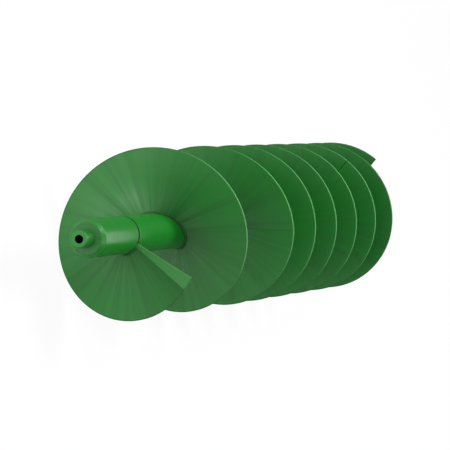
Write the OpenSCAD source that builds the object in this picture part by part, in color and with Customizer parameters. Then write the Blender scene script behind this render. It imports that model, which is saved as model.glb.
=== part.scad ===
// Screw conveyor auger: a tube with a helicoid flight and a turned shaft at each end.
// The screw lies along X. The origin is the centre of the shoulder where the drive
// end's stub meets its journal. Seen from the drive end, angles run clockwise from +Z.

/* [Tube] */
// Outer diameter of the tube and of both journals
tube_d = 88.9; // [70:0.1:120]
// Wall of the tube
tube_wall = 8; // [5:0.5:12]
// Length of the tube
tube_l = 1880; // [1500:10:3000]

/* [Flight] */
// Outer diameter of the flight
flight_d = 400; // [300:5:600]
// Thickness of the flight's plate, square to its surface
plate_t = 8; // [4:0.5:12]
// Pitch of the feed section, at the drive end
feed_pitch = 400; // [300:5:480]
// Pitch of the middle section
middle_pitch = 200; // [120:5:260]
// Pitch of the last section
last_pitch = 180; // [100:5:220]
// Pitch of the run-out, the last section's tail end
end_pitch = 110; // [80:5:220]
// Arc of the feed section, in degrees
feed_arc = 695; // [360:5:720]
// Arc of the last section up to its run-out, in degrees
last_arc = 430; // [360:5:1080]
// Arc of the run-out, in degrees
end_arc = 290; // [90:5:360]
// Clock angle of the flight's leading edge
lead_angle = 42; // [0:1:359]

/* [Flight ends] */
// How far the helix starts ahead of the tube, past the journal
lead_overhang = 30; // [10:1:60]
// Arc of the leading end that is pressed flat, square to the axis
lead_flat_arc = 9; // [4:1:15]
// Clear distance from the tube's end to the middle of the flight's root
root_land = 9; // [8:0.5:16]
// Bare tube behind the trailing edge
tail_bare = 64; // [15:1:90]
// Gap at a butt joint between two sections, in degrees
butt_gap = 0.1; // [0.05:0.05:0.3]

/* [End shafts] */
// Length of each journal, from its shoulder to the tube
journal_l = 240; // [120:5:320]
// Chamfer at the journal's outer end
journal_chamfer = 8; // [2:1:12]
// Diameter of the stub at each end
stub_d = 40; // [30:1:55]
// Length of the stub, from the shoulder
stub_l = 50; // [30:1:80]
// Chamfer at the stub's end
stub_chamfer = 2; // [1:0.5:4]
// Length of the spigot inside the tube
spigot_l = 90; // [50:5:140]
// Chamfer at the spigot's inner end
spigot_chamfer = 4; // [2:1:8]
// Diameter of the tapped hole in the stub, at the tap drill of M22
hole_d = 19.5; // [12:0.5:22]
// Depth of the tapped hole's round wall
hole_l = 45; // [25:1:60]
// Chamfer at the mouth of the tapped hole
hole_chamfer = 1; // [0.5:0.5:2]

/* [Fits] */
// Radial clearance of a spigot in the tube
spigot_gap = 0.1; // [0.05:0.05:0.3]
// Radial clearance of the flight's root round the tube, filled by its weld
root_gap = 0.1; // [0.05:0.05:0.3]
// Depth of the chamfers that make the groove where a journal meets the tube
groove = 1.5; // [0.5:0.5:3]

/* [Hidden] */

$fn = 96;
paint = "#2b7a30";
facet_arc = 5;                    // largest arc of one facet of the flight
drill_point = 118;                // angle of the drill's point, in degrees

tube_r = tube_d / 2;
bore_r = tube_r - tube_wall;
stub_r = stub_d / 2;
hole_r = hole_d / 2;
flight_r = flight_d / 2;
tube_x = journal_l;               // drive end of the tube
tube_end = tube_x + tube_l;       // tail end of the tube
helix_x = tube_x - lead_overhang; // where the feed section's helix starts
root_x_min = tube_x + root_land;  // foremost place of the root's middle

// The middle section fills the length that the other two leave.
feed_l = feed_pitch * feed_arc / 360;
last_l = (last_pitch * last_arc + end_pitch * end_arc) / 360;
middle_l = tube_end - tail_bare - helix_x - feed_l - last_l;
middle_arc = 360 * middle_l / middle_pitch;
feed_end = feed_arc;
middle_end = feed_end + middle_arc;
run_out = middle_end + last_arc;  // where the run-out starts
last_end = run_out + end_arc;

// ---- turned pieces -------------------------------------------------------

// Turns a profile of [x, r] points about the X axis.
module turn(profile)
    rotate([0, 90, 0])
        rotate_extrude()
            polygon([for (p = profile) [p[1], p[0]]]);

// A drilled hole along +X from x = 0: mouth chamfer, round wall and drill point.
module drilled_hole(r, wall_l, mouth) {
    tip_l = r / tan(drill_point / 2);
    wall_x = mouth + wall_l;
    over = 1;
    turn([[-over, 0], [-over, r + mouth + over], [mouth, r],
          [wall_x, r], [wall_x + tip_l, 0]]);
}

// An end shaft as turned, with its stub towards -X and its shoulder at x = 0.
module end_shaft() {
    spigot_r = bore_r - spigot_gap;
    spigot_end = journal_l + spigot_l;
    difference() {
        turn([
            [-stub_l, 0],
            [-stub_l, stub_r - stub_chamfer],
            [-stub_l + stub_chamfer, stub_r],
            [0, stub_r],
            [0, tube_r - journal_chamfer],
            [journal_chamfer, tube_r],
            [journal_l - groove, tube_r],
            [journal_l, tube_r - groove],
            [journal_l, spigot_r],
            [spigot_end - spigot_chamfer, spigot_r],
            [spigot_end, spigot_r - spigot_chamfer],
            [spigot_end, 0]
        ]);
        translate([-stub_l, 0, 0])
            drilled_hole(hole_r, hole_l, hole_chamfer);
    }
}

module drive_end_shaft()
    color(paint)
        end_shaft();

module tail_end_shaft()
    color(paint)
        translate([journal_l + tube_end, 0, 0])
            rotate([0, 180, 0])
                end_shaft();

module centre_tube()
    color(paint)
        turn([
            [tube_x, bore_r],
            [tube_x, tube_r - groove],
            [tube_x + groove, tube_r],
            [tube_end - groove, tube_r],
            [tube_end, tube_r - groove],
            [tube_end, bore_r]
        ]);

// ---- flight --------------------------------------------------------------

// The flight's middle surface is a helicoid. Its angle a is counted from the
// leading edge, and x follows one rule through all three sections, so that each
// section starts where the one before it ends.
function helix_at(a) =
    helix_x
    + feed_pitch * min(max(a, lead_flat_arc), feed_end) / 360
    + middle_pitch * min(max(a - feed_end, 0), middle_arc) / 360
    + last_pitch * min(max(a - middle_end, 0), last_arc) / 360
    + end_pitch * max(a - run_out, 0) / 360;

// The root stays on the tube, while the leading edge sweeps forward past it.
function root_at(a) = max(helix_at(a), root_x_min);

// The pitch at angle a of a section that has this pitch before any run-out.
function pitch_at(a, pitch) = a > run_out ? end_pitch : pitch;

// Half of the plate's length along X at radius r, for a plate that is plate_t
// thick square to a helicoid of that pitch.
function half_plate(r, pitch) =
    plate_t / 2 * sqrt(1 + pow(pitch / (2 * PI * r), 2));

function at_clock(x, r, a) =
    [x, -r * sin(lead_angle + a), r * cos(lead_angle + a)];

// The four corners of the plate's section at angle a: root front, rim front,
// rim back and root back.
function plate_section(a, pitch, root_r) =
    let (
        h_root = half_plate(root_r, pitch_at(a, pitch)),
        h_rim = half_plate(flight_r, pitch_at(a, pitch))
    )
    [
        at_clock(root_at(a) - h_root, root_r, a),
        at_clock(helix_at(a) - h_rim, flight_r, a),
        at_clock(helix_at(a) + h_rim, flight_r, a),
        at_clock(root_at(a) + h_root, root_r, a)
    ];

// One section of the flight, swept from angle a_start to a_end.
module flight_section(a_start, a_end, pitch) {
    steps = ceil((a_end - a_start) / facet_arc);
    step = (a_end - a_start) / steps;
    // The facets' middles, not their corners, clear the round tube by root_gap.
    root_r = (tube_r + root_gap) / cos(step / 2);
    sections = [for (i = [0 : steps]) plate_section(a_start + i * step, pitch, root_r)];
    points = [for (s = sections) each s];
    corners = 4;
    // Between two sections each side of the plate is two triangles.
    sides = [
        for (i = [0 : steps - 1], c = [0 : corners - 1])
            let (
                here = i * corners,
                next = here + corners,
                d = (c + 1) % corners
            )
            each [
                [here + c, here + d, next + d],
                [here + c, next + d, next + c]
            ]
    ];
    last = steps * corners;
    polyhedron(
        points = points,
        faces = concat([[1, 0, 3, 2]], sides, [[last, last + 1, last + 2, last + 3]]),
        convexity = 10
    );
}

module feed_flight()
    color(paint)
        flight_section(0, feed_end, feed_pitch);

module middle_flight()
    color(paint)
        flight_section(feed_end + butt_gap, middle_end, middle_pitch);

module last_flight()
    color(paint)
        flight_section(middle_end + butt_gap, last_end, last_pitch);

centre_tube();
drive_end_shaft();
tail_end_shaft();
feed_flight();
middle_flight();
last_flight();
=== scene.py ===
"""Looks of a screw conveyor auger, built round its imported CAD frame.

The screw lies along X on its flight's rim, as it comes to rest. Every length is in metres
and every piece is made in the row's own frame, so that its object sits at the origin.
"""

import logging
import math
from dataclasses import dataclass, field
from enum import Enum

import bmesh
import bpy
from mathutils import Matrix, Vector


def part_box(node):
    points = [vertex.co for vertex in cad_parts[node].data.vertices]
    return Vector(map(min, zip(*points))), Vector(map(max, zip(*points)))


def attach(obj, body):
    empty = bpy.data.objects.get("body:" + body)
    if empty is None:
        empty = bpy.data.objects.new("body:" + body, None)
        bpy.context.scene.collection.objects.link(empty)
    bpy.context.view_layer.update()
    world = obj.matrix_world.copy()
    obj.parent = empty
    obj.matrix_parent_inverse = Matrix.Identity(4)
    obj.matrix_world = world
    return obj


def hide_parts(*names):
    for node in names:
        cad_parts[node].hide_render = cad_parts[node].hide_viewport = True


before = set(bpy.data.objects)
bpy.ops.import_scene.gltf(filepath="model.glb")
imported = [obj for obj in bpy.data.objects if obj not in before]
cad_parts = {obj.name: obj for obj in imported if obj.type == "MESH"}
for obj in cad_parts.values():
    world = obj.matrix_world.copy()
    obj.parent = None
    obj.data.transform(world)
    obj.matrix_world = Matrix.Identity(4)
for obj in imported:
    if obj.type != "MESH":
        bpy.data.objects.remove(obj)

BODY = "root"
MM = 0.001
ON_AXIS = 1e-4 * MM  # a smaller radius is a point on the axis
FULL_TURN = 2 * math.pi

MATH = "ShaderNodeMath"
VECTOR_MATH = "ShaderNodeVectorMath"
MAP_RANGE = "ShaderNodeMapRange"
MIX = "ShaderNodeMix"
NOISE = "ShaderNodeTexNoise"
SEPARATE = "ShaderNodeSeparateXYZ"
COMBINE = "ShaderNodeCombineXYZ"
SET_POSITION = "GeometryNodeSetPosition"
SHADE_SMOOTH = "GeometryNodeSetShadeSmooth"
PRINCIPLED = "ShaderNodeBsdfPrincipled"
MATERIAL_OUTPUT = "ShaderNodeOutputMaterial"
UNDER, OVER, MIXED = 6, 7, 2  # the two colour inputs and the colour output of a mix

Mesh = bpy.types.Mesh
Object = bpy.types.Object
Material = bpy.types.Material
Tree = bpy.types.NodeTree
Node = bpy.types.Node
Socket = bpy.types.NodeSocket
Sizes = bpy.types.NodeOutputs

log = logging.getLogger("screw")


# ---- small tools ---------------------------------------------------------


def linear(hex_colour: str) -> tuple[float, float, float, float]:
    """Turns an sRGB hex colour into the linear colour that a shader takes.

    Args:
        hex_colour: The colour as "#rrggbb".

    Returns:
        Linear red, green and blue, and an alpha of 1.
    """
    parts = [int(hex_colour[i : i + 2], 16) / 255 for i in (1, 3, 5)]
    light = (c / 12.92 if c <= 0.04045 else ((c + 0.055) / 1.055) ** 2.4 for c in parts)
    return (*light, 1.0)


def per_metre(feature_mm: float) -> float:
    """Returns the pattern scale at which one feature is that many millimetres across."""
    return 1 / (feature_mm * MM)


def add(tree: Tree, kind: str, inputs: dict | None = None, **settings: object) -> Node:
    """Adds a node to a tree, with its values, links and settings.

    Args:
        tree: The shader or geometry tree.
        kind: The node's type name.
        inputs: By input name or number, a value, or a socket to link from, or a node to
            link from by its first output.
        **settings: The node's own properties, by name.

    Returns:
        The new node.
    """
    node = tree.nodes.new(kind)
    for name, value in settings.items():
        setattr(node, name, value)
    for key, value in (inputs or {}).items():
        source = value.outputs[0] if isinstance(value, Node) else value
        if isinstance(source, Socket):
            tree.links.new(source, node.inputs[key])
        else:
            node.inputs[key].default_value = source
    return node


def link_object(name: str, data: Mesh) -> Object:
    """Puts a mesh into the scene as an object at the origin.

    Args:
        name: The name of the object and its mesh.
        data: The finished mesh.

    Returns:
        The new object.
    """
    data.name = name
    obj = bpy.data.objects.new(name, data)
    bpy.context.scene.collection.objects.link(obj)
    return obj


def turn_outwards(mesh: Mesh) -> None:
    """Makes every face of a closed mesh point outwards.

    Args:
        mesh: The mesh, which is changed in place.
    """
    work = bmesh.new()
    work.from_mesh(mesh)
    bmesh.ops.recalc_face_normals(work, faces=work.faces)
    work.to_mesh(mesh)
    work.free()


def report(obj: Object) -> None:
    """Logs a piece's name and its count of triangles.

    Args:
        obj: The finished piece.
    """
    evaluated = obj.evaluated_get(bpy.context.evaluated_depsgraph_get())
    mesh = evaluated.to_mesh()
    triangles = sum(len(face.vertices) - 2 for face in mesh.polygons)
    evaluated.to_mesh_clear()
    log.info("%s: %d triangles", obj.name, triangles)


# ---- finishes ------------------------------------------------------------


def new_material(name: str) -> tuple[Material, Tree]:
    """Makes a material with an empty node tree.

    Args:
        name: The material's name.

    Returns:
        The material and its tree.
    """
    material = bpy.data.materials.new(name)
    material.use_nodes = True
    material.node_tree.nodes.clear()
    return material, material.node_tree


@dataclass(frozen=True)
class Enamel:
    """Satin machinery enamel, whose clear top gives it the faint skin of an orange."""

    name: str = "satin_machinery_enamel"
    peel_mm: float = 6.0  # orange peel is 2 mm across, drawn coarser so that it shows
    peel_depth: float = 0.02 * MM
    gloss_level: float = 0.62  # a full gloss coat, flattened a little
    ior: float = 1.5
    roughness: tuple[float, float] = (0.4, 0.52)
    gloss_band: tuple[float, float] = (0.3, 0.7)  # of the noise that the roughness follows

    def lay(self, tree: Tree, colour: Socket | tuple, layers: tuple) -> Socket:
        """Lays one tone after another over a colour.

        Args:
            tree: The shader tree.
            colour: The colour underneath.
            layers: How much each layer covers, and its tone, from the lowest up.

        Returns:
            The colour on top.
        """
        for share, tone in layers:
            mix = add(tree, MIX, {0: share, UNDER: colour, OVER: tone}, data_type="RGBA")
            colour = mix.outputs[MIXED]
        return colour

    def varied_gloss(self, tree: Tree, grain: Node) -> Node:
        """Adds a roughness that follows the grain under the coat.

        Args:
            tree: The shader tree.
            grain: The grain's noise.

        Returns:
            The roughness.
        """
        smooth, rough = self.roughness
        low, high = self.gloss_band
        spread = {"From Min": low, "From Max": high, "To Min": smooth, "To Max": rough}
        return add(tree, MAP_RANGE, {"Value": grain, **spread})

    def coat(self, tree: Tree, place: Socket, colour: Socket, gloss: Node) -> None:
        """Ends the tree in the enamel's surface.

        Args:
            tree: The shader tree.
            place: The place on the piece.
            colour: The colour of the paint.
            gloss: Its roughness.
        """
        peel = add(tree, NOISE, {"Vector": place, "Scale": per_metre(self.peel_mm), "Detail": 1.0})
        relief = {"Height": peel, "Distance": self.peel_depth, "Strength": 1.0}
        skin = add(tree, "ShaderNodeBump", relief)
        surface = add(
            tree,
            PRINCIPLED,
            {
                "Base Color": colour,
                "Roughness": gloss,
                "Normal": skin,
                "IOR": self.ior,
                "Specular IOR Level": self.gloss_level,
            },
        )
        add(tree, MATERIAL_OUTPUT, {"Surface": surface})


@dataclass
class PlatePoint:
    """A shaded point of the flight, as sockets: its place and how it lies to the axis."""

    place: Socket
    along: Socket
    radius: Socket
    outward: Node
    height: Socket
    clock: Node

    @classmethod
    def read(cls, tree: Tree) -> "PlatePoint":
        """Adds the nodes that read a point.

        Args:
            tree: The shader tree.

        Returns:
            The point. Its height is how far its spoke points up, from -1 to 1, and its
            clock is the spoke's turn from straight up.
        """
        place = add(tree, "ShaderNodeTexCoord").outputs["Object"]
        axes = add(tree, SEPARATE, {0: place}).outputs
        spoke = add(tree, COMBINE, {"Y": axes["Y"], "Z": axes["Z"]})
        radius = add(tree, VECTOR_MATH, {0: spoke}, operation="LENGTH").outputs["Value"]
        outward = add(tree, VECTOR_MATH, {0: spoke}, operation="NORMALIZE")
        height = add(tree, SEPARATE, {0: outward}).outputs["Z"]
        across = add(tree, MATH, {0: axes["Y"], 1: -1.0}, operation="MULTIPLY")
        clock = add(tree, MATH, {0: across, 1: axes["Z"]}, operation="ARCTAN2")
        return cls(place, axes["X"], radius, outward, height, clock)


@dataclass(frozen=True)
class SprayedEnamel(Enamel):
    """The enamel as it is sprayed on a cold-formed steel flight.

    The plate is stretched outwards from its root when it is formed, which leaves faint
    draw marks fanning out across it. Near the root they carry pale streaks, partly dust
    and partly a painted sheen, and the crease itself is darkened with painted shade. The
    rim has a painted highlight where it faces up, and the faces along it are darkened with
    painted shade, except on their upper side. The pressed end has a painted highlight,
    and the plate just behind it has painted shade.
    """

    name: str = "sprayed_enamel_on_formed_plate"
    root_tone: str = "#12761f"
    rim_tone: str = "#10791f"
    # the draw marks' tone, and the painted shade behind the pressed end
    mark_and_shade_tone: str = "#0a5a13"
    # pale streaks near the root: partly dust, partly a painted sheen
    dust_and_sheen_tone: str = "#567a58"
    # painted shade: the tone that darkens the crease along the root
    crease_shade_tone: str = "#07300b"
    # painted shade: darkens the faces along the rim, except on their upper side
    edge_shade_tone: str = "#0c5213"
    # painted highlight on the rim where it faces up
    rim_highlight_tone: str = "#4a9d52"
    # painted highlight on the pressed end
    end_highlight_tone: str = "#358239"
    root_r: float = 44.45 * MM
    rim_r: float = 200.0 * MM
    root_coat: float = 0.75  # share of the plate's width over which its tone changes
    mark_mm: float = 10.5  # width of one draw mark at the rim
    mark_detail: float = 3.0
    mark_breakup: float = 0.65
    mark_band: tuple[float, float] = (0.42, 0.68)
    root_marks: float = 0.75
    rim_marks: float = 0.35
    dust_and_sheen_band: tuple[float, float] = (0.5, 0.32)
    dust_and_sheen_r: float = 120.0 * MM
    dust_and_sheen_share: float = 0.6
    crease_l: float = 6.0 * MM
    edge_l: float = 1.3 * MM
    turned_band: tuple[float, float] = (0.3, 0.7)
    edge_shade_band: tuple[float, float] = (0.35, 0.05)  # of the spoke's height
    rim_highlight_band: tuple[float, float] = (0.45, 0.9)  # of the spoke's height
    last_turn_x: float = 1870.0 * MM
    end_x: float = 300.0 * MM
    end_clock: float = math.radians(46.5)
    end_arc: float = math.radians(9)
    # painted shade on the plate just behind the pressed end
    end_shade_arc: float = math.radians(45)
    end_shade_share: float = 0.7
    rim_roughness: float = 0.75
    # roughness of the parts darkened with painted shade
    shaded_roughness: float = 0.95

    def draw_marks(self, tree: Tree, at: PlatePoint) -> Node:
        """Adds the noise of the draw marks, which run along the spokes.

        It is read on a ring, and slides with x so that no two turns have the same marks.

        Args:
            tree: The shader tree.
            at: The shaded point.

        Returns:
            The noise.
        """
        scale = {0: at.outward, "Scale": self.rim_r}
        ring = add(tree, VECTOR_MATH, scale, operation="SCALE")
        slide = add(tree, COMBINE, {"X": at.along})
        marks_at = add(tree, VECTOR_MATH, {0: ring, 1: slide}, operation="ADD")
        pair = per_metre(2 * self.mark_mm)
        grain = {"Scale": pair, "Detail": self.mark_detail, "Roughness": self.mark_breakup}
        return add(tree, NOISE, {"Vector": marks_at, **grain})

    def streaks(
        self, tree: Tree, at: PlatePoint, marks: Node, band: tuple, end_r: float, shares: tuple
    ) -> Node:
        """Adds streaks that follow the draw marks and fade away from the root.

        Args:
            tree: The shader tree.
            at: The shaded point.
            marks: The noise of the draw marks.
            band: The noise's values at which the streaks start and are full.
            end_r: The radius at which they have faded.
            shares: How much they cover at the root and at that radius.

        Returns:
            How much they cover.
        """
        streak = add(tree, MAP_RANGE, {"Value": marks, "From Min": band[0], "From Max": band[1]})
        fading = {"Value": at.radius, "From Min": self.root_r, "From Max": end_r}
        fading |= {"To Min": shares[0], "To Max": shares[1]}
        fade = add(tree, MAP_RANGE, fading)
        return add(tree, MATH, {0: streak, 1: fade}, operation="MULTIPLY")

    def rim_faces(self, tree: Tree, at: PlatePoint) -> Node:
        """Adds a share that is 1 on the sheared edge, which faces away from the axis.

        Args:
            tree: The shader tree.
            at: The shaded point.

        Returns:
            The share.
        """
        facing = add(tree, "ShaderNodeTexCoord").outputs["Normal"]
        facing_out = add(tree, VECTOR_MATH, {0: facing, 1: at.outward}, operation="DOT_PRODUCT")
        low, high = self.turned_band
        turned = {"Value": facing_out.outputs["Value"], "From Min": low, "From Max": high}
        turned_out = add(tree, MAP_RANGE, turned)
        rim_from = self.rim_r - 2 * self.edge_l
        far_out = add(tree, MATH, {0: at.radius, 1: rim_from}, operation="GREATER_THAN")
        return add(tree, MATH, {0: turned_out, 1: far_out}, operation="MULTIPLY")

    def rim_coat(self, tree: Tree, at: PlatePoint) -> Socket:
        """Adds the tone of the sheared edge.

        A painted highlight lightens it where it faces up, except on the last turn.

        Args:
            tree: The shader tree.
            at: The shaded point.

        Returns:
            The tone.
        """
        low, high = self.rim_highlight_band
        # painted highlight where the rim faces up
        facing_up = add(tree, MAP_RANGE, {"Value": at.height, "From Min": low, "From Max": high})
        before_last = add(tree, MATH, {0: at.along, 1: self.last_turn_x}, operation="LESS_THAN")
        lit_rim = add(tree, MATH, {0: facing_up, 1: before_last}, operation="MULTIPLY")
        return self.lay(tree, linear(self.rim_tone), ((lit_rim, linear(self.rim_highlight_tone)),))

    def edge_shade(self, tree: Tree, at: PlatePoint, rim: Node) -> Node:
        """Adds painted shade along the rim on the plate's faces, except on their upper side.

        Args:
            tree: The shader tree.
            at: The shaded point.
            rim: The share of the sheared edge, which stays free of it.

        Returns:
            How much it covers.
        """
        inner, outer = self.rim_r - 2 * self.edge_l, self.rim_r - self.edge_l
        edge = add(tree, MAP_RANGE, {"Value": at.radius, "From Min": inner, "From Max": outer})
        off_rim = add(tree, MATH, {0: 1.0, 1: rim}, operation="SUBTRACT")
        face_edge = add(tree, MATH, {0: edge, 1: off_rim}, operation="MULTIPLY")
        low, high = self.edge_shade_band
        lying = add(tree, MAP_RANGE, {"Value": at.height, "From Min": low, "From Max": high})
        return add(tree, MATH, {0: face_edge, 1: lying}, operation="MULTIPLY")

    def pressed_end(self, tree: Tree, at: PlatePoint) -> tuple[Node, Node]:
        """Adds a painted highlight on the pressed end, and painted shade on the plate just behind
        it.

        Args:
            tree: The shader tree.
            at: The shaded point.

        Returns:
            How much of the end takes the painted highlight, and how much painted shade the plate
            behind it takes.
        """
        ahead = add(tree, MATH, {0: at.along, 1: self.end_x}, operation="LESS_THAN")
        half = self.end_arc / 2
        on_end = add(tree, MATH, {0: at.clock, 1: self.end_clock, 2: half}, operation="COMPARE")
        lit_end = add(tree, MATH, {0: on_end, 1: ahead}, operation="MULTIPLY")
        end_shade_from = self.end_clock + half
        fading = {"Value": at.clock, "From Min": end_shade_from, "From Max": end_shade_from + self.end_shade_arc}
        fade = add(tree, MAP_RANGE, {**fading, "To Min": self.end_shade_share, "To Max": 0.0})
        return lit_end, add(tree, MATH, {0: fade, 1: ahead}, operation="MULTIPLY")

    def build(self) -> Material:
        """Builds the material.

        Returns:
            The finished material.
        """
        material, tree = new_material(self.name)
        at = PlatePoint.read(tree)
        marks = self.draw_marks(tree, at)
        rim = self.rim_faces(tree, at)
        # painted shade along the rim, except on the faces' upper side
        edge_shade = self.edge_shade(tree, at, rim)
        # painted highlight on the pressed end, and painted shade just behind it
        lit_end, end_shade = self.pressed_end(tree, at)
        root = {"Value": at.radius, "From Min": self.root_r}
        root_end = self.root_r + self.root_coat * (self.rim_r - self.root_r)
        outer = {**root, "From Max": root_end}
        blend = add(tree, MAP_RANGE, outer, interpolation_type="SMOOTHSTEP")
        # painted shade in the crease along the root
        inner = {**root, "From Max": self.root_r + self.crease_l, "To Min": 1.0, "To Max": 0.0}
        crease = add(tree, MAP_RANGE, inner)
        # pale streaks near the root: partly dust, partly a painted sheen
        dust_and_sheen = (self.dust_and_sheen_band, self.dust_and_sheen_r, (self.dust_and_sheen_share, 0.0))
        drawn = (self.mark_band, self.rim_r, (self.root_marks, self.rim_marks))
        layers = (
            (blend, linear(self.rim_tone)),
            (self.streaks(tree, at, marks, *drawn), linear(self.mark_and_shade_tone)),
            (self.streaks(tree, at, marks, *dust_and_sheen), linear(self.dust_and_sheen_tone)),
            (crease, linear(self.crease_shade_tone)),
            (edge_shade, linear(self.edge_shade_tone)),
            (rim, self.rim_coat(tree, at)),
            (end_shade, linear(self.mark_and_shade_tone)),
            (lit_end, linear(self.end_highlight_tone)),
        )
        colour = self.lay(tree, linear(self.root_tone), layers)

        gloss = self.varied_gloss(tree, marks)
        # the parts darkened with painted shade are made rough too
        shaded = add(tree, MATH, {0: crease, 1: edge_shade}, operation="MAXIMUM")
        dull = add(tree, MATH, {0: shaded, 1: end_shade}, operation="MAXIMUM")
        for share, roughness in ((dull, self.shaded_roughness), (rim, self.rim_roughness)):
            gloss = add(tree, MAP_RANGE, {"Value": share, "To Min": gloss, "To Max": roughness})
        self.coat(tree, at.place, colour, gloss)
        return material


@dataclass(frozen=True)
class BrushedEnamel(Enamel):
    """The enamel as it is brushed on a turned steel shaft and its tube.

    The steel under it is smooth, so the coat is deeper in colour and glossier than on
    the flight, with faint rings left by the turning and by the brush. Dirt gathers in
    the groove of each joint, and painted shade darkens each shoulder's face and its
    stub near the shoulder.
    """

    name: str = "brushed_enamel_on_turned_steel"
    tone: str = "#138420"
    ring_tone: str = "#117c1d"
    # dirt in each joint's groove, and painted shade at each shoulder
    dirt_and_shade_tone: str = "#05240a"
    peel_mm: float = 8.0  # orange peel again, coarser still under a brush
    peel_depth: float = 0.015 * MM
    gloss_level: float = 0.65
    ring_mm: float = 7.0
    ring_band: tuple[float, float] = (0.4, 0.7)
    ring_share: float = 0.45
    ring_length: float = 0.12  # pattern scale round the axis against that along it
    middle_x: float = 1180.0 * MM
    joint: float = 940.0 * MM  # each joint's distance from the middle
    joint_l: float = 4.4 * MM
    shoulder: float = 1180.0 * MM  # each shoulder's distance from the middle
    face_l: float = 1.0 * MM
    stub_l: float = 50.0 * MM
    stub_shade_fade: float = 0.4  # share of the stub's length over which the painted shade fades out
    stub_shade_share: float = 0.3
    roughness: tuple[float, float] = (0.28, 0.37)
    joint_roughness: float = 0.95

    def stub_shade(self, tree: Tree, away: Node) -> Node:
        """Adds painted shade on each shoulder's face and along its stub.

        Args:
            tree: The shader tree.
            away: The distance from the screw's middle.

        Returns:
            How much it covers.
        """
        face = self.shoulder + self.stub_l
        stub_shade_from = face - self.stub_shade_fade * self.stub_l
        fading = {"Value": away, "From Min": stub_shade_from, "From Max": face}
        fade = add(tree, MAP_RANGE, {**fading, "To Min": self.stub_shade_share, "To Max": 0.0})
        shaded_from = self.shoulder - self.face_l
        beyond = add(tree, MATH, {0: away, 1: shaded_from}, operation="GREATER_THAN")
        return add(tree, MATH, {0: fade, 1: beyond}, operation="MULTIPLY")

    def build(self) -> Material:
        """Builds the material.

        Returns:
            The finished material.
        """
        material, tree = new_material(self.name)
        place = add(tree, "ShaderNodeTexCoord").outputs["Object"]
        stretch = (1.0, self.ring_length, self.ring_length)
        stretched = add(tree, "ShaderNodeMapping", {"Vector": place, "Scale": stretch})
        grain = {"Scale": per_metre(self.ring_mm), "Detail": 2.0}
        rings = add(tree, NOISE, {"Vector": stretched, **grain})
        low, high = self.ring_band
        ringed = {"Value": rings, "From Min": low, "From Max": high, "To Max": self.ring_share}
        ring_share = add(tree, MAP_RANGE, ringed)

        along = add(tree, SEPARATE, {0: place}).outputs["X"]
        from_middle = add(tree, MATH, {0: along, 1: self.middle_x}, operation="SUBTRACT")
        away = add(tree, MATH, {0: from_middle}, operation="ABSOLUTE")
        in_joint = add(tree, MATH, {0: away, 1: self.joint, 2: self.joint_l}, operation="COMPARE")
        layers = (
            (ring_share, linear(self.ring_tone)),
            (in_joint, linear(self.dirt_and_shade_tone)),
            # painted shade on each shoulder's face and along its stub
            (self.stub_shade(tree, away), linear(self.dirt_and_shade_tone)),
        )
        colour = self.lay(tree, linear(self.tone), layers)

        gloss = self.varied_gloss(tree, rings)
        dull = {"Value": in_joint, "To Min": gloss, "To Max": self.joint_roughness}
        self.coat(tree, place, colour, add(tree, MAP_RANGE, dull))
        return material


@dataclass(frozen=True)
class OiledBore:
    """Bare tapped steel with cutting oil and a little overspray at its mouth, painted near black
    with the shade inside the hole.
    """

    name: str = "oiled_tapped_steel"
    # painted shade: the steel is near black, for the shade inside the hole
    shaded_steel_tone: str = "#031806"
    spray_tone: str = "#05290a"
    patch_mm: float = 5.0
    roughness: float = 0.6
    gloss_level: float = 0.1  # oil fills the steel's grain, and light is lost in the hole

    def build(self) -> Material:
        """Builds the material.

        Returns:
            The finished material.
        """
        material, tree = new_material(self.name)
        place = add(tree, "ShaderNodeTexCoord").outputs["Object"]
        grain = {"Scale": per_metre(self.patch_mm), "Detail": 2.0}
        patches = add(tree, NOISE, {"Vector": place, **grain})
        tones = {UNDER: linear(self.shaded_steel_tone), OVER: linear(self.spray_tone)}
        colour = add(tree, MIX, {0: patches, **tones}, data_type="RGBA")
        dark = {"Roughness": self.roughness, "Specular IOR Level": self.gloss_level}
        surface = add(tree, PRINCIPLED, {"Base Color": colour.outputs[MIXED], **dark})
        add(tree, MATERIAL_OUTPUT, {"Surface": surface})
        return material


# ---- the flight ----------------------------------------------------------


class Section(Enum):
    """The three lengths of flight, by the CAD node that each one replaces."""

    FEED = "feed_flight"
    MIDDLE = "middle_flight"
    LAST = "last_flight"


class PlateSide(Enum):
    """A side of the flight's plate, by its direction along X."""

    FRONT = -1
    BACK = 1


@dataclass
class FlightSpan:
    """One section's share of the flight: its arc and how it advances along X."""

    start_arc: float
    arc: float
    start_x: float
    pitch: float
    flat_arc: float = 0.0
    run_out_arc: float = 0.0  # 0 where the pitch stays as it is
    run_out_pitch: float = 0.0


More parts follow.
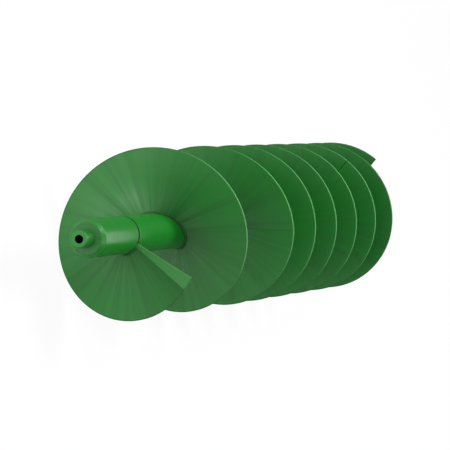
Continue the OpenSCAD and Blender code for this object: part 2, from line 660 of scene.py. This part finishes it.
@dataclass
class HelicoidFlight:
    """The formed plate wound round the tube, in three sections, and its root welds."""

    enamel: Material
    tube_x: float
    tube_end: float
    tube_r: float
    rim_r: float
    plate_t: float = 8.0 * MM
    feed_pitch: float = 400.0 * MM
    middle_pitch: float = 200.0 * MM
    last_pitch: float = 180.0 * MM
    end_pitch: float = 110.0 * MM
    feed_arc: float = math.radians(695)
    last_arc: float = math.radians(430)
    end_arc: float = math.radians(290)
    lead_angle: float = math.radians(42)
    flat_arc: float = math.radians(9)
    seam_arc: float = math.radians(0.35)
    lead_overhang: float = 30.0 * MM
    root_land: float = 9.0 * MM
    tail_bare: float = 64.0 * MM
    edge_round: float = 1.4 * MM
    edge_steps: int = 2
    edge_angle: float = math.radians(60)  # sharper edges are rounded
    crease_angle: float = math.radians(12)  # sharper edges are shaded flat
    step_arc: float = math.radians(1.5)
    rings: int = 12
    bead_r: float = 3.6 * MM
    bead_sides: int = 8
    bead_lift: float = 0.25  # its line's height over the tube, in bead radii
    bead_side: float = 0.6  # its line's distance from the plate's middle, in plates
    ripple: float = 0.10
    ripple_l: float = 7.0 * MM
    ripple_steps: int = 4
    spans: dict[Section, FlightSpan] = field(init=False)

    def __post_init__(self) -> None:
        """Works out each section's span from the lengths of the flight and the tube."""
        start = self.tube_x - self.lead_overhang
        feed_l = self.feed_pitch * self.feed_arc / FULL_TURN
        last_l = (self.last_pitch * self.last_arc + self.end_pitch * self.end_arc) / FULL_TURN
        middle_l = self.tube_end - self.tail_bare - start - feed_l - last_l
        middle_arc = middle_l / self.middle_pitch * FULL_TURN
        self.spans = {
            Section.FEED: FlightSpan(
                0.0, self.feed_arc, start, self.feed_pitch, flat_arc=self.flat_arc
            ),
            Section.MIDDLE: FlightSpan(
                self.feed_arc, middle_arc, start + feed_l, self.middle_pitch
            ),
            Section.LAST: FlightSpan(
                self.feed_arc + middle_arc,
                self.last_arc + self.end_arc,
                start + feed_l + middle_l,
                self.last_pitch,
                run_out_arc=self.last_arc,
                run_out_pitch=self.end_pitch,
            ),
        }

    def named_inputs(self, section: Section) -> dict[str, float | int]:
        """Gives the sizes that both flight trees take for one section.

        Args:
            section: The section to be made.

        Returns:
            The value of each named input.
        """
        span = self.spans[section]
        return {
            "Lead angle": self.lead_angle + span.start_arc,
            "Arc": span.arc,
            "Start": span.start_x,
            "Pitch": span.pitch,
            "Flat arc": span.flat_arc,
            "Run-out from": span.run_out_arc or span.arc,
            "Run-out pitch": span.run_out_pitch or span.pitch,
            "Root limit": self.tube_x + self.root_land,
            "Root radius": self.tube_r,
            "Rim radius": self.rim_r,
            "Plate": self.plate_t,
            "Steps": math.ceil(span.arc / self.step_arc) + 1,
        }

    def bend(
        self, tree: Tree, sizes: Sizes, arc: Node, radius: Node, side: Socket
    ) -> Node:
        """Adds the rule that bends a point of a straight bar on to the helicoid.

        The root keeps behind a limit, so that the plate's leading end sweeps forward
        only at its rim. The plate is as thick as stated square to its own surface.

        Args:
            tree: The geometry tree.
            sizes: The outputs of the tree's input node.
            arc: Angle along the section, from its start.
            radius: Distance from the axis.
            side: Place through the plate, from -0.5 at its front to 0.5 at its back.

        Returns:
            The bent position.
        """
        held = add(tree, MATH, {0: arc, 1: sizes["Flat arc"]}, operation="MAXIMUM")
        steady = add(tree, MATH, {0: held, 1: sizes["Pitch"]}, operation="MULTIPLY")
        beyond = add(tree, MATH, {0: arc, 1: sizes["Run-out from"]}, operation="SUBTRACT")
        in_run_out = add(tree, MATH, {0: beyond, 1: 0.0}, operation="MAXIMUM")
        pitches = {0: sizes["Run-out pitch"], 1: sizes["Pitch"]}
        change = add(tree, MATH, pitches, operation="SUBTRACT")
        slowed = add(tree, MATH, {0: in_run_out, 1: change, 2: steady}, operation="MULTIPLY_ADD")
        advance = {0: slowed, 1: 1 / FULL_TURN, 2: sizes["Start"]}
        helix_x = add(tree, MATH, advance, operation="MULTIPLY_ADD")
        root_x = add(tree, MATH, {0: helix_x, 1: sizes["Root limit"]}, operation="MAXIMUM")
        middle_x = add(
            tree,
            MAP_RANGE,
            {
                "Value": radius,
                "From Min": sizes["Root radius"],
                "From Max": sizes["Rim radius"],
                "To Min": root_x,
                "To Max": helix_x,
            },
            clamp=False,
        )
        past = add(tree, MATH, {0: beyond, 1: 0.0}, operation="GREATER_THAN")
        pitch = add(tree, MATH, {0: past, 1: change, 2: sizes["Pitch"]}, operation="MULTIPLY_ADD")
        hoop = add(tree, MATH, {0: radius, 1: FULL_TURN}, operation="MULTIPLY")
        slope = add(tree, MATH, {0: pitch, 1: hoop}, operation="DIVIDE")
        slope_2 = add(tree, MATH, {0: slope, 1: slope, 2: 1.0}, operation="MULTIPLY_ADD")
        stretch = add(tree, MATH, {0: slope_2}, operation="SQRT")
        through = add(tree, MATH, {0: side, 1: sizes["Plate"]}, operation="MULTIPLY")
        x = add(tree, MATH, {0: stretch, 1: through, 2: middle_x}, operation="MULTIPLY_ADD")
        clock = add(tree, MATH, {0: arc, 1: sizes["Lead angle"]}, operation="ADD")
        sine = add(tree, MATH, {0: clock}, operation="SINE")
        cosine = add(tree, MATH, {0: clock}, operation="COSINE")
        across = add(tree, MATH, {0: sine, 1: radius}, operation="MULTIPLY")
        y = add(tree, MATH, {0: across, 1: -1.0}, operation="MULTIPLY")
        z = add(tree, MATH, {0: cosine, 1: radius}, operation="MULTIPLY")
        return add(tree, COMBINE, {"X": x, "Y": y, "Z": z})

    def new_tree(self, name: str, extra: dict[str, str]) -> tuple[Tree, Sizes]:
        """Starts a geometry tree with the flight's named inputs.

        Args:
            name: The tree's name.
            extra: The socket type of each input that only this tree has, by its name.

        Returns:
            The tree and the outputs of its input node.
        """
        tree = bpy.data.node_groups.new(name, "GeometryNodeTree")
        tree.interface.new_socket("Geometry", in_out="OUTPUT", socket_type="NodeSocketGeometry")
        kinds = dict.fromkeys(self.named_inputs(Section.FEED), "NodeSocketFloat")
        kinds |= {"Steps": "NodeSocketInt", "Paint": "NodeSocketMaterial"} | extra
        for label, kind in kinds.items():
            tree.interface.new_socket(label, in_out="INPUT", socket_type=kind)
        return tree, add(tree, "NodeGroupInput").outputs

    def end_tree(self, tree: Tree, geometry: Node, paint: Socket) -> None:
        """Ends a tree in Realize Instances and Set Material.

        Args:
            tree: The geometry tree.
            geometry: The finished geometry.
            paint: The material input.
        """
        real = add(tree, "GeometryNodeRealizeInstances", {"Geometry": geometry})
        dressed = add(tree, "GeometryNodeSetMaterial", {"Geometry": real, "Material": paint})
        add(tree, "NodeGroupOutput", {"Geometry": dressed})

    def plate_tree(self) -> Tree:
        """Builds the tree that bends a gridded bar into a length of flight.

        Returns:
            The geometry tree.
        """
        tree, sizes = self.new_tree("formed_flight_plate", {"Rings": "NodeSocketInt"})
        radii = {0: sizes["Rim radius"], 1: sizes["Root radius"]}
        width = add(tree, MATH, radii, operation="SUBTRACT")
        bar_size = add(tree, COMBINE, {"X": sizes["Arc"], "Y": width, "Z": 1.0})
        bar = add(
            tree,
            "GeometryNodeMeshCube",
            {
                "Size": bar_size,
                "Vertices X": sizes["Steps"],
                "Vertices Y": sizes["Rings"],
                "Vertices Z": 2,
            },
        )
        axes = add(tree, SEPARATE, {0: add(tree, "GeometryNodeInputPosition")}).outputs
        arc = add(tree, MATH, {0: sizes["Arc"], 1: 0.5, 2: axes["X"]}, operation="MULTIPLY_ADD")
        halfway = {0: width, 1: 0.5, 2: sizes["Root radius"]}
        middle_r = add(tree, MATH, halfway, operation="MULTIPLY_ADD")
        radius = add(tree, MATH, {0: middle_r, 1: axes["Y"]}, operation="ADD")
        bent = self.bend(tree, sizes, arc, radius, axes["Z"])
        plate = add(tree, SET_POSITION, {"Geometry": bar, "Position": bent})
        smooth = add(tree, SHADE_SMOOTH, {"Geometry": plate, "Shade Smooth": True}, domain="FACE")
        angle = add(tree, "GeometryNodeInputMeshEdgeAngle").outputs["Unsigned Angle"]
        crease = add(tree, MATH, {0: angle, 1: self.crease_angle}, operation="GREATER_THAN")
        creased = {"Geometry": smooth, "Selection": crease, "Shade Smooth": False}
        edged = add(tree, SHADE_SMOOTH, creased, domain="EDGE")
        self.end_tree(tree, edged, sizes["Paint"])
        return tree

    def bead_tree(self) -> Tree:
        """Builds the tree that lays a rippled weld bead along the flight's root.

        Returns:
            The geometry tree.
        """
        own = ("Side", "Bead radius", "Ripple", "Ripple length")
        tree, sizes = self.new_tree("root_weld_bead", dict.fromkeys(own, "NodeSocketFloat"))
        points = {"Count": sizes["Steps"], "Offset": (0.0, 0.0, 0.0)}
        line = add(tree, "GeometryNodeMeshLine", points, mode="OFFSET")
        index = add(tree, "GeometryNodeInputIndex")
        intervals = add(tree, MATH, {0: sizes["Steps"], 1: 1.0}, operation="SUBTRACT")
        share = add(tree, MATH, {0: index, 1: intervals}, operation="DIVIDE")
        arc = add(tree, MATH, {0: share, 1: sizes["Arc"]}, operation="MULTIPLY")
        lifted = {0: sizes["Bead radius"], 1: self.bead_lift, 2: sizes["Root radius"]}
        radius = add(tree, MATH, lifted, operation="MULTIPLY_ADD")
        bent = self.bend(tree, sizes, arc, radius, sizes["Side"])
        run = add(tree, SET_POSITION, {"Geometry": line, "Position": bent})
        curve = add(tree, "GeometryNodeMeshToCurve", {"Mesh": run})
        along = add(tree, MATH, {0: arc, 1: sizes["Root radius"]}, operation="MULTIPLY")
        waves = add(tree, MATH, {0: along, 1: sizes["Ripple length"]}, operation="DIVIDE")
        phase = add(tree, MATH, {0: waves, 1: FULL_TURN}, operation="MULTIPLY")
        wave = add(tree, MATH, {0: phase}, operation="SINE")
        swell = add(tree, MATH, {0: wave, 1: sizes["Ripple"], 2: 1.0}, operation="MULTIPLY_ADD")
        circle = {"Resolution": self.bead_sides, "Radius": sizes["Bead radius"]}
        ring = add(tree, "GeometryNodeCurvePrimitiveCircle", circle, mode="RADIUS")
        swept = {"Curve": curve, "Profile Curve": ring, "Scale": swell, "Fill Caps": True}
        bead = add(tree, "GeometryNodeCurveToMesh", swept)
        smooth = add(tree, SHADE_SMOOTH, {"Geometry": bead, "Shade Smooth": True}, domain="FACE")
        self.end_tree(tree, smooth, sizes["Paint"])
        return tree

    def grow(self, name: str, tree: Tree, values: dict[str, object]) -> Object:
        """Runs a tree with its inputs and keeps the result as a plain mesh.

        Args:
            name: The name of the piece.
            tree: The geometry tree.
            values: The value of each named input.

        Returns:
            The finished piece, with no modifier left on it.
        """
        obj = link_object(name, bpy.data.meshes.new(name))
        modifier = obj.modifiers.new("rule", "NODES")
        modifier.node_group = tree
        for socket in tree.interface.items_tree:
            if socket.in_out == "INPUT":
                modifier[socket.identifier] = values[socket.name]
        obj.update_tag()
        bpy.context.view_layer.update()
        evaluated = obj.evaluated_get(bpy.context.evaluated_depsgraph_get())
        mesh = bpy.data.meshes.new_from_object(evaluated)
        obj.modifiers.remove(modifier)
        obj.data = mesh
        mesh.name = name
        turn_outwards(mesh)
        return obj

    def make_plate(self, section: Section, tree: Tree) -> Object:
        """Makes one section of the flight and puts it in its node's place.

        Args:
            section: The section to be made.
            tree: The plate's geometry tree.

        Returns:
            The finished piece.
        """
        values = self.named_inputs(section)
        if section is Section.LAST:
            values["Lead angle"] += self.seam_arc
            values["Arc"] -= self.seam_arc
            values["Run-out from"] -= self.seam_arc
            values["Start"] += values["Pitch"] * self.seam_arc / FULL_TURN
        values |= {"Rings": self.rings, "Paint": self.enamel}
        plate = self.grow(f"{section.value}_plate", tree, values)
        ease = plate.modifiers.new("eased_edges", "BEVEL")
        ease.width = self.edge_round
        ease.segments = self.edge_steps
        ease.limit_method = "ANGLE"
        ease.angle_limit = self.edge_angle
        ease.harden_normals = True
        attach(plate, BODY)
        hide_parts(section.value)
        return plate

    def make_bead(self, section: Section, side: PlateSide, tree: Tree) -> Object:
        """Makes the weld bead along one side of a section's root.

        Args:
            section: The section that the bead holds.
            side: The side of the plate that the bead runs along.
            tree: The bead's geometry tree.

        Returns:
            The finished piece.
        """
        values = self.named_inputs(section)
        span = self.spans[section]
        values |= {
            "Side": side.value * self.bead_side,
            "Bead radius": self.bead_r,
            "Ripple": self.ripple,
            "Ripple length": self.ripple_l,
            "Steps": math.ceil(span.arc * self.tube_r / self.ripple_l * self.ripple_steps) + 1,
            "Paint": self.enamel,
        }
        bead = self.grow(f"{section.value}_{side.name.lower()}_weld", tree, values)
        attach(bead, BODY)
        return bead

    def build(self) -> list[Object]:
        """Makes the three plates and their welds.

        Returns:
            The finished pieces.
        """
        plate_tree = self.plate_tree()
        bead_tree = self.bead_tree()
        plates = [self.make_plate(section, plate_tree) for section in Section]
        sides = [(section, side) for section in Section for side in PlateSide]
        return plates + [self.make_bead(section, side, bead_tree) for section, side in sides]


# ---- turned pieces -------------------------------------------------------


class ShaftEnd(Enum):
    """An end of the screw, by the CAD node of its shaft."""

    DRIVE = "drive_end_shaft"
    TAIL = "tail_end_shaft"


@dataclass(kw_only=True)
class TurnedPart:
    """A piece turned about the X axis, from a profile of (x, radius) corners."""

    enamel: Material
    facets: int = 128
    ease: float = 0.6 * MM
    ease_steps: int = 3
    ease_most: float = 0.3  # of the shorter side of a corner
    flat_from: float = 1.5  # where the point beside a corner stands, in easings

    def eased(self, corners: list[tuple[float, float]]) -> list[tuple[float, float]]:
        """Rounds a profile's corners, and adds a point beside each one.

        The points beside the corners keep the long faces' shading flat up to the
        rounding. Corners on the axis are kept as they are.

        Args:
            corners: The profile from end to end, or a closed one with its first corner
                again at its end.

        Returns:
            The profile with rounded corners.
        """
        closed = corners[0] == corners[-1]
        ring = corners[:-1] if closed else corners
        count = len(ring)
        out: list[tuple[float, float]] = []
        for i, here in enumerate(ring):
            if not closed and i in (0, count - 1):
                out.append(here)
                continue
            corner = Vector(here)
            before = Vector(ring[i - 1]) - corner
            after = Vector(ring[(i + 1) % count]) - corner
            cut = min(self.ease, *(self.ease_most * side.length for side in (before, after)))
            start = corner + before.normalized() * cut
            end = corner + after.normalized() * cut
            out.append(tuple(corner + before.normalized() * self.flat_from * cut))
            for step in range(self.ease_steps + 1):
                t = step / self.ease_steps
                point = (1 - t) ** 2 * start + 2 * t * (1 - t) * corner + t**2 * end
                out.append(tuple(point))
            out.append(tuple(corner + after.normalized() * self.flat_from * cut))
        if closed:
            out.append(out[0])
        return out

    def turn(self, name: str, profile: list[tuple[float, float]]) -> Object:
        """Turns a profile into a closed smooth mesh.

        Args:
            name: The name of the piece.
            profile: The points to be turned, open between two points on the axis or
                closed round a wall.

        Returns:
            The new object.
        """
        work = bmesh.new()
        closed = profile[0] == profile[-1]
        points = profile[:-1] if closed else profile
        turns = [FULL_TURN * i / self.facets for i in range(self.facets)]
        rings = [
            [work.verts.new((x, -r * math.sin(turn), r * math.cos(turn))) for turn in turns]
            if r > ON_AXIS
            else [work.verts.new((x, 0, 0))]
            for x, r in points
        ]
        nexts = rings[1:] + (rings[:1] if closed else [])
        for low, high in zip(rings, nexts):
            for i in range(self.facets):
                j = (i + 1) % self.facets
                corners = [low[i % len(low)], low[j % len(low)]]
                corners += [high[j % len(high)], high[i % len(high)]]
                work.faces.new(list(dict.fromkeys(corners)))
        bmesh.ops.recalc_face_normals(work, faces=work.faces)
        mesh = bpy.data.meshes.new(name)
        work.to_mesh(mesh)
        work.free()
        mesh.shade_smooth()
        return link_object(name, mesh)


@dataclass(kw_only=True)
class EndShaft(TurnedPart):
    """A stepped end shaft: a journal, a stub with a tapped hole, and a hidden spigot."""

    bore: Material
    end: ShaftEnd = ShaftEnd.DRIVE
    face_x: float = -50.0 * MM
    tube_r: float = 44.45 * MM
    journal_l: float = 240.0 * MM
    journal_chamfer: float = 8.0 * MM
    stub_r: float = 20.0 * MM
    stub_l: float = 50.0 * MM
    stub_chamfer: float = 2.0 * MM
    spigot_r: float = 36.35 * MM
    spigot_l: float = 90.0 * MM
    spigot_chamfer: float = 4.0 * MM
    groove: float = 4.0 * MM
    hole_r: float = 9.75 * MM
    thread_r: float = 11.0 * MM
    thread_pitch: float = 2.5 * MM
    thread_l: float = 40.0 * MM
    hole_l: float = 45.0 * MM
    hole_chamfer: float = 1.0 * MM
    point_l: float = 5.86 * MM
    thread_steps: int = 8
    wall_slack: float = 0.02 * MM
    painted_mouth: float = 0.4  # share of the chamfer that the paint covers

    def outside(self) -> list[tuple[float, float]]:
        """Lists the corners from the hole's mouth to the spigot's end.

        Returns:
            The corners, with x measured from the stub's face.
        """
        shoulder = self.stub_l
        joint = shoulder + self.journal_l
        last = joint + self.spigot_l
        return [
            (0.0, self.hole_r + self.hole_chamfer),
            (0.0, self.stub_r - self.stub_chamfer),
            (self.stub_chamfer, self.stub_r),
            (shoulder, self.stub_r),
            (shoulder, self.tube_r - self.journal_chamfer),
            (shoulder + self.journal_chamfer, self.tube_r),
            (joint - self.groove, self.tube_r),
            (joint, self.tube_r - self.groove),
            (joint, self.spigot_r),
            (last - self.spigot_chamfer, self.spigot_r),
            (last, self.spigot_r - self.spigot_chamfer),
            (last, 0.0),
        ]

    def hole(self) -> list[tuple[float, float]]:
        """Lists the hole's points from the drill's point to its mouth.

        Returns:
            The points, with x measured from the stub's face.
        """
        bottom = self.hole_chamfer + self.hole_l
        points = [(bottom + self.point_l, 0.0), (bottom, self.hole_r)]
        count = round(self.thread_l / self.thread_pitch) * self.thread_steps
        for i in range(count, -1, -1):
            points.append((self.hole_chamfer + self.thread_l * i / count, self.hole_r))
        return points

    def cut_thread(self, mesh: Mesh, points: int) -> None:
        """Cuts the thread's groove into the hole's wall.

        Args:
            mesh: The turned mesh, with the hole's rings first and its tip before them.
            points: The count of points that the hole's profile has.
        """
        depth = self.thread_r - self.hole_r
        for ring in range(2, points):
            for i in range(self.facets):
                vertex = mesh.vertices[1 + (ring - 1) * self.facets + i]
                along = vertex.co.x - self.hole_chamfer
                turns = along / self.thread_pitch - i / self.facets
                flank = 1 - abs(2 * (turns % 1.0) - 1)
                fade = min(
                    max(along / self.thread_pitch, 0.0),
                    max((self.thread_l - along) / self.thread_pitch, 0.0),
                    1.0,
                )
                growth = 1 + depth * flank * fade / self.hole_r
                vertex.co.y *= growth
                vertex.co.z *= growth

    def place(self, mesh: Mesh) -> None:
        """Moves the mesh from its own face at x = 0 to its end of the screw.

        Args:
            mesh: The turned mesh.
        """
        turn = 0.0 if self.end is ShaftEnd.DRIVE else FULL_TURN / 2
        mesh.transform(Matrix.Translation((self.face_x, 0, 0)) @ Matrix.Rotation(turn, 4, "Z"))

    def build(self) -> Object:
        """Makes the shaft and puts it in its node's place.

        Returns:
            The finished piece.
        """
        hole = self.hole()
        outside = self.eased([(0.0, 0.0), *self.outside()])[1:]
        shaft = self.turn(f"{self.end.name.lower()}_shaft", hole + outside)
        mesh = shaft.data
        self.cut_thread(mesh, len(hole))
        mesh.materials.append(self.enamel)
        mesh.materials.append(self.bore)
        mouth = self.painted_mouth * self.hole_chamfer
        bottom = self.hole_chamfer + self.hole_l + self.point_l
        for face in mesh.polygons:
            off_axis = math.hypot(face.center.y, face.center.z)
            if mouth < face.center.x < bottom and off_axis < self.thread_r + self.wall_slack:
                face.material_index = 1
        self.place(mesh)
        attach(shaft, BODY)
        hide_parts(self.end.value)
        return shaft


@dataclass(kw_only=True)
class CentreTube(TurnedPart):
    """The tube that the flight is wound on."""

    start_x: float = 240.0 * MM
    end_x: float = 2120.0 * MM
    outer_r: float = 44.45 * MM
    wall: float = 8.0 * MM
    groove: float = 4.0 * MM

    def build(self) -> Object:
        """Makes the tube and puts it in its node's place.

        Returns:
            The finished piece.
        """
        bore_r = self.outer_r - self.wall
        corners = [
            (self.start_x, bore_r),
            (self.start_x, self.outer_r - self.groove),
            (self.start_x + self.groove, self.outer_r),
            (self.end_x - self.groove, self.outer_r),
            (self.end_x, self.outer_r - self.groove),
            (self.end_x, bore_r),
            (self.start_x, bore_r),
        ]
        tube = self.turn("tube", self.eased(corners))
        tube.data.materials.append(self.enamel)
        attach(tube, BODY)
        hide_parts("centre_tube")
        return tube


# ---- studio --------------------------------------------------------------


@dataclass
class StudioCamera:
    """A long lens that looks along the screw from its drive end and from above."""

    aim: tuple[float, float, float] = (1.0, -0.0024, 0.0155)
    distance: float = 8.929
    heading: float = math.radians(2.397)
    drop: float = math.radians(17.036)
    roll: float = math.radians(76.25)
    lens: float = 286.0
    sensor: float = 36.0
    clip: tuple[float, float] = (0.1, 200.0)

    def build(self) -> Object:
        """Makes the camera and makes it the scene's own.

        Returns:
            The camera.
        """
        ahead = Vector(
            (
                math.cos(self.heading) * math.cos(self.drop),
                math.sin(self.heading) * math.cos(self.drop),
                -math.sin(self.drop),
            )
        )
        level = ahead.cross(Vector((0, 0, 1))).normalized()
        plumb = level.cross(ahead)
        # Positive roll turns the camera anticlockwise, so the world leans to its right.
        up = plumb * math.cos(self.roll) - level * math.sin(self.roll)
        right = ahead.cross(up)
        turn = Matrix((right, up, -ahead)).transposed().to_4x4()
        data = bpy.data.cameras.new("studio_camera")
        data.lens = self.lens
        data.sensor_width = self.sensor
        data.clip_start, data.clip_end = self.clip
        camera = bpy.data.objects.new("studio_camera", data)
        camera.matrix_world = Matrix.Translation(Vector(self.aim) - ahead * self.distance) @ turn
        bpy.context.scene.collection.objects.link(camera)
        bpy.context.scene.camera = camera
        return camera


@dataclass
class Softbox:
    """A square studio light, given by the way to it from the screw's near end."""

    name: str
    ahead: float
    across: float
    above: float
    size: float
    level: float
    distance: float = 6.0
    aim: tuple[float, float, float] = (0.6, 0.0, 0.0)

    def build(self) -> Object:
        """Makes the light, strong enough to give its level at the point it aims at.

        Returns:
            The light.
        """
        way = Vector((self.ahead, self.across, self.above)).normalized()
        data = bpy.data.lights.new(self.name, "AREA")
        data.shape = "SQUARE"
        data.size = self.size
        data.energy = self.level * (math.pi * self.distance) ** 2
        light = bpy.data.objects.new(self.name, data)
        light.location = Vector(self.aim) + way * self.distance
        light.rotation_mode = "QUATERNION"
        light.rotation_quaternion = (-way).to_track_quat("-Z", "Y")
        light.visible_camera = False
        bpy.context.scene.collection.objects.link(light)
        return light


@dataclass
class Studio:
    """A white floor under the screw, a white surround and the lights."""

    floor_z: float = -0.2
    floor_half: float = 60.0
    floor_tone: str = "#ffffff"
    wall_tone: str = "#ffffff"
    floor_lift: float = 0.94
    fill: float = 0.14
    wall_glow: float = 0.6
    far_glow: float = 0.2
    dark_side_glow: float = 0.35
    ahead_band: tuple[float, float] = (-0.2, 0.5)  # of the way's part along the screw
    lit_side: tuple[float, float, float] = (0.0, 1.0, -0.4)
    lit_band: tuple[float, float] = (-0.6, 0.1)  # of the way's part to the lit side
    lights: tuple[Softbox, ...] = (
        Softbox("key_softbox", -0.58, 0.36, 0.73, size=1.9, level=0.25),
        Softbox("low_softbox", -0.68, 0.72, 0.14, size=2.5, level=0.16),
        Softbox("front_softbox", -0.99, 0.05, 0.14, size=2.5, level=0.17),
        Softbox("cross_softbox", -0.49, -0.41, 0.77, size=2.5, level=0.09),
        Softbox("top_softbox", 0.35, 0.15, 0.93, size=2.0, level=0.72),
        Softbox("rim_softbox", 0.92, -0.10, 0.38, size=2.4, level=0.075),
    )

    def seen(self, tree: Tree) -> tuple[Socket, Node]:
        """Adds values that are 1 for rays that see the surround rather than light by it.

        Args:
            tree: The shader tree.

        Returns:
            The value for camera rays, and one that takes in reflected and refracted rays.
        """
        ray = add(tree, "ShaderNodeLightPath").outputs
        bounced = {0: ray["Is Glossy Ray"], 1: ray["Is Transmission Ray"]}
        mirrored = add(tree, MATH, bounced, operation="MAXIMUM")
        either = add(tree, MATH, {0: ray["Is Camera Ray"], 1: mirrored}, operation="MAXIMUM")
        return ray["Is Camera Ray"], either

    def mirrored(self, tree: Tree, way: Socket) -> Node:
        """Adds how bright the studio is in a reflection.

        It is white towards the camera and the lit side. It dims behind the screw and
        on its other side, where a studio is dark, so that the edges keep their shape.

        Args:
            tree: The shader tree.
            way: The direction that the reflected ray goes in.

        Returns:
            The brightness, up to 1.
        """
        axes = add(tree, SEPARATE, {0: way}).outputs
        low, high = self.ahead_band
        dims = {"Value": axes["X"], "From Min": low, "From Max": high}
        ahead = add(tree, MAP_RANGE, {**dims, "To Min": 1.0, "To Max": self.far_glow})
        lit_way = add(tree, VECTOR_MATH, {0: way, 1: self.lit_side}, operation="DOT_PRODUCT")
        low, high = self.lit_band
        glows = {"Value": lit_way.outputs["Value"], "From Min": low, "From Max": high}
        across = add(tree, MAP_RANGE, {**glows, "To Min": self.dark_side_glow, "To Max": 1.0})
        return add(tree, MATH, {0: ahead, 1: across}, operation="MULTIPLY")

    def surround(self) -> None:
        """Makes the world: white where it is seen, and a plain fill where it lights."""
        world = bpy.data.worlds.new("white_surround")
        world.use_nodes = True
        tree = world.node_tree
        tree.nodes.clear()
        camera_ray, seen = self.seen(tree)
        glow = self.mirrored(tree, add(tree, "ShaderNodeTexCoord").outputs["Generated"])
        dimmed = add(tree, MATH, {0: glow, 1: self.wall_glow}, operation="MULTIPLY")
        shown = add(tree, MATH, {0: camera_ray, 1: dimmed}, operation="MAXIMUM")
        strength = add(tree, MAP_RANGE, {"Value": seen, "To Min": self.fill, "To Max": shown})
        light = {"Color": linear(self.wall_tone), "Strength": strength}
        white = add(tree, "ShaderNodeBackground", light)
        add(tree, "ShaderNodeOutputWorld", {"Surface": white})
        bpy.context.scene.world = world

    def floor(self) -> Object:
        """Makes the pale floor, which keeps the screw's shadow.

        Returns:
            The floor.
        """
        half = self.floor_half
        mesh = bpy.data.meshes.new("studio_floor")
        corners = [(-half, -half), (half, -half), (half, half), (-half, half)]
        mesh.from_pydata([(x, y, self.floor_z) for x, y in corners], [], [(0, 1, 2, 3)])
        floor = link_object("studio_floor", mesh)
        material, tree = new_material("pale_studio_floor")
        matt = add(tree, "ShaderNodeBsdfDiffuse", {"Color": linear(self.floor_tone)})
        camera_ray, seen = self.seen(tree)
        back = add(tree, "ShaderNodeNewGeometry").outputs["Incoming"]
        way = add(tree, VECTOR_MATH, {0: back, "Scale": -1.0}, operation="SCALE").outputs[0]
        glow = self.mirrored(tree, way)
        shown = add(tree, MATH, {0: camera_ray, 1: glow}, operation="MAXIMUM")
        light = {"Color": linear(self.wall_tone), "Strength": shown}
        white = add(tree, "ShaderNodeEmission", light)
        share = add(tree, MATH, {0: seen, 1: self.floor_lift}, operation="MULTIPLY")
        mixed = add(tree, "ShaderNodeMixShader", {0: share, 1: matt, 2: white})
        add(tree, MATERIAL_OUTPUT, {"Surface": mixed})
        mesh.materials.append(material)
        return floor

    def build(self) -> None:
        """Makes the surround, the floor and the lights."""
        bpy.context.scene.view_settings.view_transform = "Standard"
        self.surround()
        self.floor()
        for light in self.lights:
            light.build()


# ---- the whole -----------------------------------------------------------


def main() -> None:
    """Builds the studio and the screw."""
    logging.basicConfig(level=logging.INFO, format="%(name)s: %(message)s")
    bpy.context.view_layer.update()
    StudioCamera().build()
    Studio().build()

    flight_enamel = SprayedEnamel().build()
    turned_enamel = BrushedEnamel().build()
    bore_steel = OiledBore().build()

    tube_low, tube_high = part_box("centre_tube")
    flight_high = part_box("middle_flight")[1]
    tube = CentreTube(enamel=turned_enamel, start_x=tube_low.x, end_x=tube_high.x)
    flight = HelicoidFlight(
        enamel=flight_enamel,
        tube_x=tube_low.x,
        tube_end=tube_high.x,
        tube_r=tube.outer_r,
        rim_r=round(flight_high.z / MM) * MM,  # to the whole millimetre
    )
    shafts = [
        EndShaft(
            enamel=turned_enamel,
            bore=bore_steel,
            end=end,
            face_x=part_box(end.value)[0 if end is ShaftEnd.DRIVE else 1].x,
        )
        for end in ShaftEnd
    ]
    pieces = [tube.build(), *(shaft.build() for shaft in shafts), *flight.build()]
    for piece in pieces:
        report(piece)


if __name__ == "__main__":
    main()
